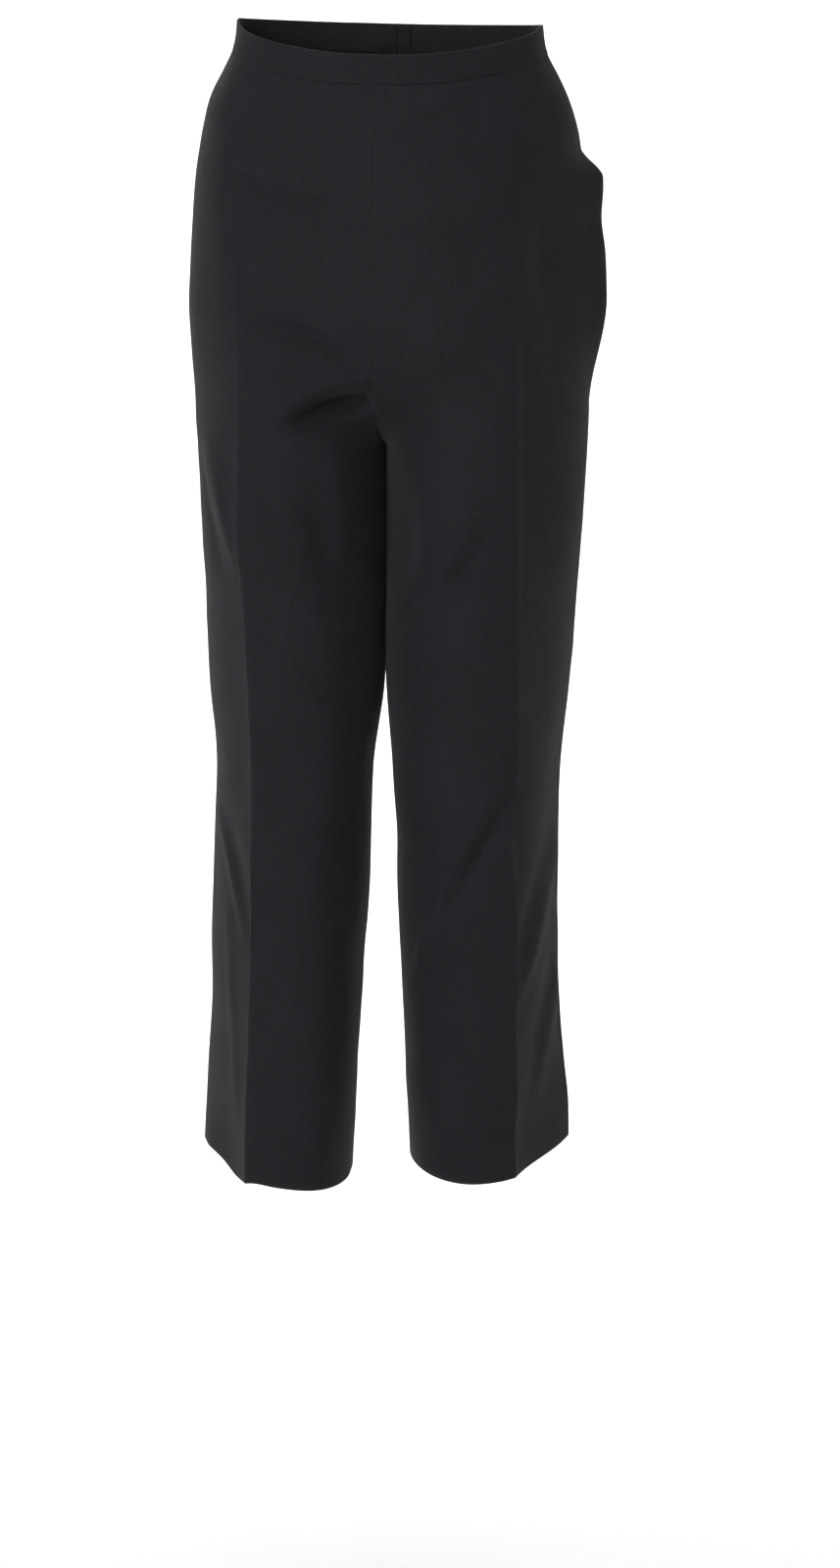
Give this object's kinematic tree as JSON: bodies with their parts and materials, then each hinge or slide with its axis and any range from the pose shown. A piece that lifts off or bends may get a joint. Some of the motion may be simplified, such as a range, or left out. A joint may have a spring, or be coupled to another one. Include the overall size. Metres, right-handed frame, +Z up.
{
  "type": "capri pants",
  "caption": "Cropped tailored trousers with pressed creases, a curved plain waistband, side-seam pockets and a concealed zip at the centre back.",
  "frame": {"origin": "middle of the waist, on the centre plane, half way up the waistband at the side seams, where the wearer holds the garment", "axes": "+Z up the wearer, -Y the way the front faces, +X the wearer's left"},
  "size_m": [0.3243, 0.2371, 0.9077],
  "materials": {
    "suiting": "matt",
    "band_suiting": "matt",
    "pocketing": "matt",
    "zip_metal": "satin"
  },
  "bodies": {
    "garment": {"front_left": "suiting", "front_right": "suiting", "back_left": "suiting", "back_right": "suiting", "waistband_front": "band_suiting", "waistband_back_left": "band_suiting", "waistband_back_right": "band_suiting", "pocket_bag_left": "pocketing", "pocket_bag_right": "pocketing", "zip_slider": "zip_metal"},
    "zip_pull": {"zip_pull": "zip_metal"}
  },
  "joints": [
    {"name": "pull_hinge", "type": "hinge", "parent": "garment", "child": "zip_pull", "pos_m": [0, 0.09174, -0.03279], "axis": [1, 0, 0], "range_deg": [0, 150]}
  ]
}
